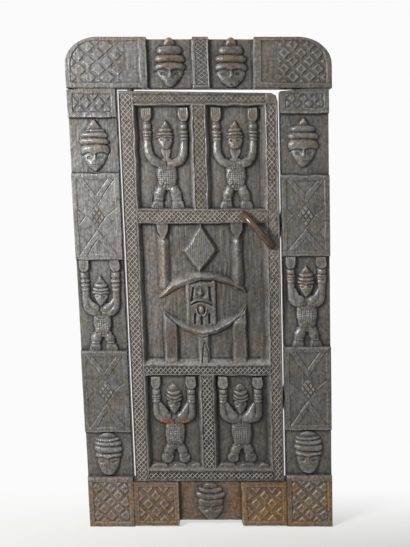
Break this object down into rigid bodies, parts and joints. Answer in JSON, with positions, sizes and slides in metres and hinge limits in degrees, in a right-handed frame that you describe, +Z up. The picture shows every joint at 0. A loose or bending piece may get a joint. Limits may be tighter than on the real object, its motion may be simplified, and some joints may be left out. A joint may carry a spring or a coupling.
{
  "type": "carved wooden door",
  "caption": "Carved plank door leaf turning on wooden pintles in a pegged frame of jambs, lintel and sill, with figures, heads and diamond fields in relief and a bowed grip.",
  "frame": {"origin": "bottom centre of the whole door, in the middle of its depth from the grip to the wall face", "axes": "+Z up, the carved front faces -Y, the flat back faces the wall at +Y, +X is to the right seen from the front"},
  "size_m": [0.9475, 0.1089, 1.7518],
  "materials": {
    "weathered_wood": "hand-adzed, weathered grey-brown",
    "ochre_wood": "hand-adzed, worn to ochre brown",
    "polished_wood": "polished by hands, reddish brown",
    "peg_wood": "whittled hardwood"
  },
  "bodies": {
    "frame": {"lintel": "weathered_wood", "left_jamb": "weathered_wood", "right_jamb": "weathered_wood", "sill": "ochre_wood", "lower_stop_peg": "peg_wood", "upper_stop_peg": "peg_wood", "lintel_left_peg_a": "peg_wood", "lintel_left_peg_b": "peg_wood", "sill_left_peg_a": "peg_wood", "sill_left_peg_b": "peg_wood", "lintel_right_peg_a": "peg_wood", "lintel_right_peg_b": "peg_wood", "sill_right_peg_a": "peg_wood", "sill_right_peg_b": "peg_wood"},
    "door_leaf": {"leaf": "weathered_wood", "handle": "polished_wood", "upper_handle_wedge": "peg_wood", "lower_handle_wedge": "peg_wood", "upper_pintle": "peg_wood", "lower_pintle": "peg_wood"}
  },
  "joints": [
    {"name": "leaf_swing", "type": "hinge", "parent": "frame", "child": "door_leaf", "pos_m": [-0.20927, 0.015, 0.175], "axis": [0.031, 0, -0.9995], "range_deg": [0, 110]}
  ]
}
